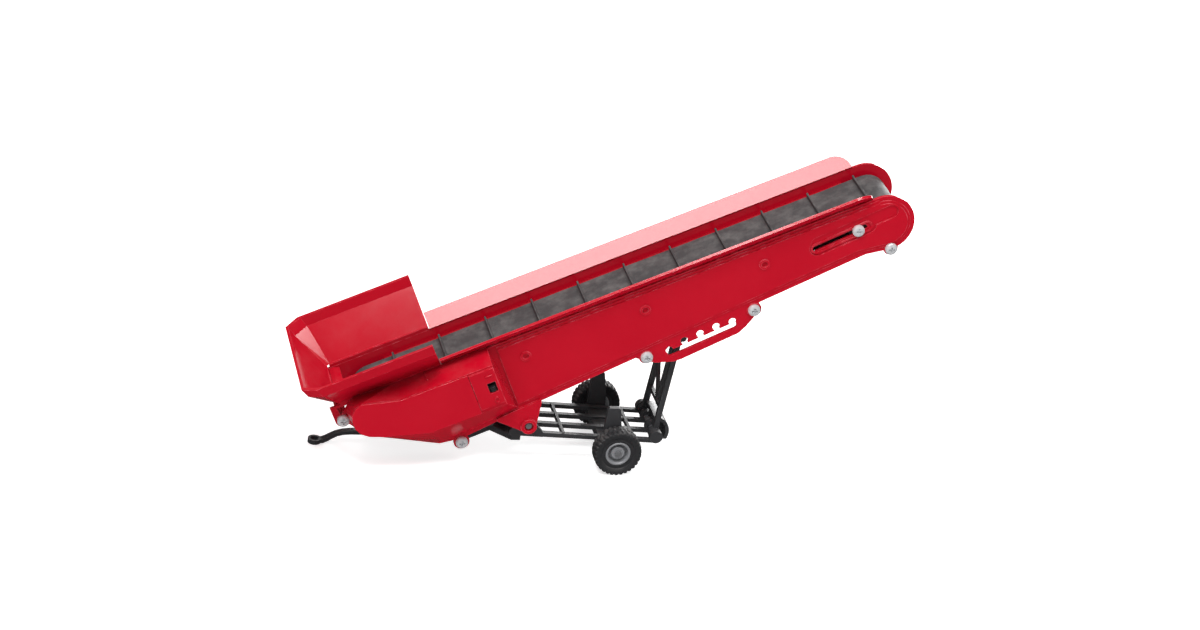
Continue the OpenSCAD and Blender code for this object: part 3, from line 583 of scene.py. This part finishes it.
def belt_ways(settings, loop):
    """Places round the loop where the belt gets a section, each with its share of a cleat's height."""
    pitch = loop / settings.cleats
    plain = 9
    ways = []
    for i in range(settings.cleats):
        cleat = settings.first_cleat + i * pitch
        ways += [(cleat + along * MM, height) for along, height in CLEAT_PROFILE]
        edge = CLEAT_PROFILE[-1][0] * MM
        ways += [(cleat + edge + (pitch - 2 * edge) * k / plain, 0) for k in range(1, plain)]
    return ways


def belt_section(half, cleat):
    """Points across the belt as (across, thickness share, cleat share), from one edge and back."""
    round_edge = [(half, 0.25, 0), (half, 0.75, 0), (half - 0.18 * MM, 1, 0), (half - 0.5 * MM, 1, 0)]
    bar = [(half - 0.55 * MM, 1, cleat * 0.9), (half - 0.85 * MM, 1, cleat)]
    inside = [(half * (1 - k / 5) * 0.93, 1, cleat) for k in range(1, 5)]
    right = round_edge + bar + inside
    left = [(-across, thick, rise) for across, thick, rise in reversed(right)]
    under = [(half * (k / 4 - 1) * 0.98, 0, 0) for k in range(9)]
    return right + [(0, 1, cleat)] + left + under


def build_belt(settings):
    """Cleated rubber belt round both rollers, with the slight waves of a slack run on top."""
    low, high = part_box("belt")
    half = (high.y - low.y) / 2
    roller_low, roller_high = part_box("head_roller")
    inner = (roller_high.z - roller_low.z) / 2 + settings.gap
    span = (HEAD_AXIS - TAIL_AXIS).length
    middle_radius = inner + settings.thickness / 2
    loop = 2 * (span + math.pi * middle_radius)
    rings = []
    for way, cleat in belt_ways(settings, loop):
        centre, outward = loop_place(way, middle_radius, span)
        on_top = smoothstep(0.02, 0.05, way % loop) * (1 - smoothstep(span - 0.03, span, way % loop))
        ring = []
        for across, thick, rise in belt_section(half, cleat):
            radius = inner + settings.thickness * thick + settings.cleat_height * rise
            wave = math.sin(way * 190 + across * 60) * math.sin(way * 71 - across * 110)
            radius += thick * WAVE_DEPTH * on_top * (wave - 1) * (1 - rise)
            along = UP_BELT * (centre.x + outward.x * radius) + OFF_BELT * (outward.y * radius)
            ring.append(TAIL_AXIS + along + ACROSS * across)
        rings.append(ring)
    mesh = bmesh.new()
    ring_of_rings(mesh, rings, closed=True)
    belt = finish_piece("cleated_belt", mesh, "conveyor", materials["Belt rubber"])
    belt.data.set_sharp_from_angle(angle=BELT_CREASE)
    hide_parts("belt")


def raised_stroke(mesh, places, width, height, ends=6):
    """Raised rounded stroke along a line of (up, off) places on the switch plate's face."""
    face_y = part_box("pod_body")[0].y
    points = [Vector(place) for place in places]
    outline = []
    for side in (1, -1):
        line = points if side == 1 else points[::-1]
        for k, point in enumerate(line):
            ahead = line[k + 1] - point if k + 1 < len(line) else point - line[k - 1]
            along = ahead.normalized()
            square = Vector((-along.y, along.x))
            if k + 1 < len(line):
                outline.append((point, -square))
                continue
            for step in range(ends + 1):
                angle = math.pi * (step / ends - 0.5)
                outline.append((point, along * math.cos(angle) + square * math.sin(angle)))
    rings = []
    for rise, spread in ((-0.3, 1.0), (0.5, 1.0), (0.85, 0.8), (1.0, 0.45)):
        ring = [point + out * width / 2 * spread for point, out in outline]
        rings.append([on_conveyor(p.x, face_y - rise * height, p.y) for p in ring])
    ring_of_rings(mesh, rings, closed=False)


def pod_rib(mesh, up, start, end, width=1.1 * MM, height=0.5 * MM, steps=8):
    """Rib that lies across the pod's sloped top from start to end across the conveyor."""
    pod = frame["nodes"]["pod_body"]
    rings = []
    for step in range(steps + 1):
        across = start + (end - start) * step / steps
        hit, place, _, _ = pod.ray_cast(on_conveyor(up, across, 0.09), -OFF_BELT)
        if not hit:
            raise RuntimeError("no pod under the rib")
        taper = 0.35 if step in (0, steps) else 1.0
        ring = []
        for side, rise in ((-0.5, -0.6), (-0.5, 0.4), (-0.3, 1), (0.3, 1), (0.5, 0.4), (0.5, -0.6)):
            ring.append(place + UP_BELT * side * width + OFF_BELT * rise * height * (taper if rise > 0 else 1))
        rings.append(ring)
    ring_of_rings(mesh, rings, closed=False)


def raised_ring(mesh, centre, radius, width, height, steps=40):
    """Raised ring on the battery side of the switch plate."""
    face_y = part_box("pod_body")[0].y
    rings = []
    for step in range(steps):
        turn = 2 * math.pi * step / steps
        out = Vector((math.cos(turn) * 0.8, math.sin(turn)))
        ring = []
        for off, rise in ((-0.5, -0.3), (-0.5, 0.5), (-0.28, 1), (0.28, 1), (0.5, 0.5), (0.5, -0.3)):
            place = Vector(centre) + out * (radius + off * width)
            ring.append(on_conveyor(place.x, face_y - rise * height, place.y))
        rings.append(ring)
    ring_of_rings(mesh, rings, closed=True)


class CONVEYOR_OT_finishes(Operator):
    """Make the materials of every finish"""

    bl_idname = "conveyor.finishes"
    bl_label = "Make finishes"

    def execute(self, context):
        shell, grey = context.scene.conveyor.shell, context.scene.conveyor.frame
        soft, hard = context.scene.conveyor.rubber, context.scene.conveyor.metal
        # Every moulding gets paler edges, partly wear and partly a painted edge highlight; on the red shells
        # the full amount also paints the light lines along edges, ring marks and ridges.
        moulded("Red shell", shell.red, shell.worn_and_highlit, shell.gloss, wear_and_highlight=1.0, Specular_IOR_Level=0.42)
        moulded("Inner red", shell.inner_red, shell.worn_and_highlit, shell.gloss + 0.1, dust=0.05)
        moulded("Frame grey", grey.grey, grey.worn_and_highlit, grey.gloss, depth=0.012 * MM, dust=0.12, wear_and_highlight=0.7)
        moulded("Rim grey", grey.rim, grey.worn_and_highlit, grey.gloss - 0.08, dust=0.1, wear_and_highlight=0.2)
        moulded("Black moulding", grey.black, grey.worn_and_highlit, grey.gloss, dust=0.1)
        rubber("Belt rubber", soft.belt, 0.58, weave=WEAVE_PITCH)
        rubber("Tyre rubber", soft.tyre, 0.62, dust=0.22)
        rubber("Band rubber", soft.tyre, 0.5)
        metal("Plated screw", hard.plating, 0.22, plated=0.45)
        metal("Turned steel", hard.steel, 0.3, plated=0.8)
        moulded("Cell sleeve", hard.sleeve, hard.plating, 0.25, wear_and_highlight=0.2)
        return {"FINISHED"}


class CONVEYOR_OT_shells(Operator):
    """Finish the red panels, hopper, tail cover and battery pod"""

    bl_idname = "conveyor.shells"
    bl_label = "Finish red shells"

    def execute(self, context):
        shell = context.scene.conveyor.shell
        outer = nodes_named("panel", "hopper", "tail_cover", "pod_body", "battery_door")
        dress(outer, materials["Red shell"], shell.edge)
        inner = nodes_named("belt_deck", "tie_tube", "spacer", "motor_mount")
        dress(inner, materials["Inner red"], shell.edge)
        return {"FINISHED"}


# Sizes and places of the switch's marks and the pod's ribs, off the belt or down it from the switch.
MARK_HEIGHT = 0.55 * MM
BAR_HALF, BAR_WIDTH, BAR_OFF = 2.1 * MM, 0.9 * MM, 8.9 * MM
RING_RADIUS, RING_WIDTH, RING_OFF = 1.8 * MM, 0.85 * MM, -9.6 * MM
RIBS_DOWN = (37 * MM, 68.5 * MM)
RIB_START, RIB_END = 0.8 * MM, 9.5 * MM


class CONVEYOR_OT_switch_marks(Operator):
    """Raise the plain on and off marks beside the switch, and the pod's ribs"""

    bl_idname = "conveyor.switch_marks"
    bl_label = "Raise switch marks"

    def execute(self, context):
        up, _, off = conveyor_place(middle("switch_body"))
        on_mark = bmesh.new()
        bar = [(up - BAR_HALF, off + BAR_OFF), (up + BAR_HALF, off + BAR_OFF)]
        raised_stroke(on_mark, bar, BAR_WIDTH, MARK_HEIGHT)
        finish_piece("mark_on", on_mark, "conveyor", materials["Red shell"])
        off_mark = bmesh.new()
        raised_ring(off_mark, (up, off + RING_OFF), RING_RADIUS, RING_WIDTH, MARK_HEIGHT)
        finish_piece("mark_off", off_mark, "conveyor", materials["Red shell"])
        panel_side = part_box("pod_body")[1].y
        for number, down in enumerate(RIBS_DOWN, 1):
            rib = bmesh.new()
            pod_rib(rib, up - down, panel_side - RIB_START, panel_side - RIB_END)
            finish_piece(f"pod_rib_{number}", rib, "conveyor", materials["Red shell"])
        return {"FINISHED"}


class CONVEYOR_OT_grey_frame(Operator):
    """Finish the chassis, strut and wheel rims"""

    bl_idname = "conveyor.grey_frame"
    bl_label = "Finish grey frame"

    def execute(self, context):
        grey = context.scene.conveyor.frame
        bars = nodes_named("chassis", "drawbar", "axle_carrier", "rear_guard", "strut_frame", "lock_bar")
        dress(bars, materials["Frame grey"], grey.edge)
        dress(nodes_named("rim"), materials["Rim grey"], grey.edge / 2)
        black = nodes_named("tension_plate", "switch", "drive_roller", "head_roller")
        dress(black, materials["Black moulding"])
        return {"FINISHED"}


class CONVEYOR_OT_belt(Operator):
    """Finish the belt and the drive band"""

    bl_idname = "conveyor.belt"
    bl_label = "Finish belt"

    def execute(self, context):
        build_belt(context.scene.conveyor.rubber)
        dress(["drive_band"], materials["Band rubber"])
        return {"FINISHED"}


class CONVEYOR_OT_tyres(Operator):
    """Build the two lugged tyres"""

    bl_idname = "conveyor.tyres"
    bl_label = "Build tyres"

    def execute(self, context):
        settings = context.scene.conveyor.rubber
        for side in ("near", "far"):
            build_tyre("tyre_" + side, f"wheel_{side}_spin", "wheel_" + side, settings)
        return {"FINISHED"}


class CONVEYOR_OT_metalwork(Operator):
    """Finish screws, pins, shafts, motor and cells"""

    bl_idname = "conveyor.metalwork"
    bl_label = "Finish metalwork"

    def execute(self, context):
        dress(nodes_named("screw", "tension_screw"), materials["Plated screw"])
        turned = nodes_named("wheel_axle", "tilt_pin", "strut_pin", "head_shaft", "drive_pulley", "contacts")
        dress(["motor", "motor_pulley", *turned], materials["Turned steel"])
        dress(nodes_named("cell"), materials["Cell sleeve"])
        return {"FINISHED"}


# Each softbox: its setting, the direction it stands in from the conveyor, its distance and its size, in metres.
SOFTBOXES = (
    ("key", (-0.29, -0.39, 0.88), 1.2, (0.58, 0.42)),
    ("top", (0.13, 0.03, 0.99), 1.1, (0.3, 0.2)),
    ("edge", (0.25, -0.41, 0.84), 1.2, (0.6, 0.09)),
    ("back", (0.49, 0.87, 0.1), 1.3, (1.0, 0.45)),
    ("fill", (-0.5, -0.85, 0.3), 1.6, (1.2, 1.2)),
)
FLOOR_SIZE = 6.0
FLOOR_GLOW = 0.6
CAMERA_RIGHT = Vector((0.96812, -0.20943, 0.13744))
CAMERA_BACK = Vector((-0.24909, -0.86290, 0.43971))
CAMERA_PLACE = Vector((-0.30566, -1.67100, 0.94890))


class CONVEYOR_OT_stage(Operator):
    """Set the floor, the softboxes and the camera"""

    bl_idname = "conveyor.stage"
    bl_label = "Set stage"

    def execute(self, context):
        scene, studio = context.scene, context.scene.conveyor.studio
        self.make_floor(studio)
        world = bpy.data.worlds.new("Studio surround")
        world.use_nodes = True
        tree = world.node_tree
        backdrop = tree.nodes["Background"]
        backdrop.inputs["Color"].default_value = (1, 1, 1, 1)
        ray = add(tree, "LightPath").outputs
        seen = add(tree, "Mix", {0: ray["Is Camera Ray"], 2: studio.sky, 3: 1.0})
        strength = add(tree, "Mix", {0: ray["Is Glossy Ray"], 2: seen.outputs[0], 3: studio.sheen})
        tree.links.new(strength.outputs[0], backdrop.inputs["Strength"])
        scene.world = world
        scene.view_settings.view_transform = "Standard"
        for setting, direction, distance, size in SOFTBOXES:
            name, power = setting.title() + " softbox", getattr(studio, setting)
            self.softbox(name, Vector(direction), distance, size, power)
        self.make_camera(scene)
        return {"FINISHED"}

    def make_floor(self, studio):
        """Wide pale floor under the wheels."""
        mesh = bmesh.new()
        bmesh.ops.create_grid(mesh, x_segments=8, y_segments=8, size=FLOOR_SIZE)
        data = bpy.data.meshes.new("studio_floor")
        mesh.to_mesh(data)
        mesh.free()
        tree, shader = new_material("Studio floor", Roughness=0.7, Specular_IOR_Level=0.2)
        surface = effect(tree, "grain", Scale=8, Depth=0.00001)
        dim = (*(channel * 0.985 for channel in studio.floor[:3]), 1)
        tree.links.new(mixed(tree, surface["Tone"], dim, tuple(studio.floor)), shader.inputs["Base Color"])
        ray = add(tree, "LightPath").outputs
        shader.inputs["Emission Color"].default_value = (1, 1, 1, 1)
        glow = maths(tree, "MULTIPLY", ray["Is Camera Ray"], FLOOR_GLOW)
        tree.links.new(glow, shader.inputs["Emission Strength"])
        dark = add(tree, "Emission", {"Strength": studio.sheen})
        either = add(tree, "MixShader", {0: ray["Is Glossy Ray"], 1: shader.outputs[0], 2: dark.outputs[0]})
        tree.links.new(either.outputs[0], tree.nodes["Material Output"].inputs["Surface"])
        data.materials.append(materials["Studio floor"])
        floor = bpy.data.objects.new("studio_floor", data)
        floor.location.z = CAD_BOX[0].z
        bpy.context.scene.collection.objects.link(floor)

    def softbox(self, name, direction, distance, size, power):
        """Rectangular light that faces the conveyor."""
        target = (CAD_BOX[0] + CAD_BOX[1]) / 2
        light = bpy.data.lights.new(name, "AREA")
        light.shape = "RECTANGLE"
        light.size, light.size_y = size
        light.energy = power
        lamp = bpy.data.objects.new(name, light)
        lamp.location = target + direction.normalized() * distance
        lamp.rotation_euler = direction.to_track_quat("Z", "Y").to_euler()
        bpy.context.scene.collection.objects.link(lamp)

    def make_camera(self, scene):
        """Long lens from the tail's battery side, a little above and slightly rolled."""
        camera = bpy.data.objects.new("Camera", bpy.data.cameras.new("Camera"))
        camera.data.lens = 90
        camera.data.sensor_width = 36
        camera.data.clip_start = 0.05
        turn = Matrix((CAMERA_RIGHT, CAMERA_BACK.cross(CAMERA_RIGHT), CAMERA_BACK)).transposed()
        camera.matrix_world = Matrix.Translation(CAMERA_PLACE) @ turn.to_4x4()
        scene.collection.objects.link(camera)
        scene.camera = camera


class CONVEYOR_PT_sidebar(Panel):
    """Lists the pieces and their settings"""

    bl_idname = "CONVEYOR_PT_sidebar"
    bl_label = "Toy belt conveyor"
    bl_space_type = "VIEW_3D"
    bl_region_type = "UI"
    bl_category = "Conveyor"

    def draw(self, context):
        for operator in OPERATORS:
            self.layout.operator(operator.bl_idname)
        for group in context.scene.conveyor.bl_rna.properties:
            settings = getattr(context.scene.conveyor, group.identifier)
            if isinstance(settings, PropertyGroup):
                box = self.layout.box()
                for setting in settings.bl_rna.properties:
                    if setting.identifier not in {"rna_type", "name"}:
                        box.prop(settings, setting.identifier)


SETTINGS = (ShellSettings, FrameSettings, RubberSettings, MetalSettings, StudioSettings, ConveyorSettings)
OPERATORS = (
    CONVEYOR_OT_finishes,
    CONVEYOR_OT_shells,
    CONVEYOR_OT_switch_marks,
    CONVEYOR_OT_grey_frame,
    CONVEYOR_OT_belt,
    CONVEYOR_OT_tyres,
    CONVEYOR_OT_metalwork,
    CONVEYOR_OT_stage,
)


def register():
    """Registers the classes and puts the settings on the scene."""
    for item in (*SETTINGS, *OPERATORS, CONVEYOR_PT_sidebar):
        bpy.utils.register_class(item)
    bpy.types.Scene.conveyor = PointerProperty(type=ConveyorSettings)


def unregister():
    """Takes the settings and classes away again."""
    del bpy.types.Scene.conveyor
    for item in reversed((*SETTINGS, *OPERATORS, CONVEYOR_PT_sidebar)):
        bpy.utils.unregister_class(item)


def main():
    """Runs every operator in order."""
    register()
    for operator in OPERATORS:
        family, name = operator.bl_idname.split(".")
        getattr(getattr(bpy.ops, family), name)()


if __name__ == "__main__":
    main()
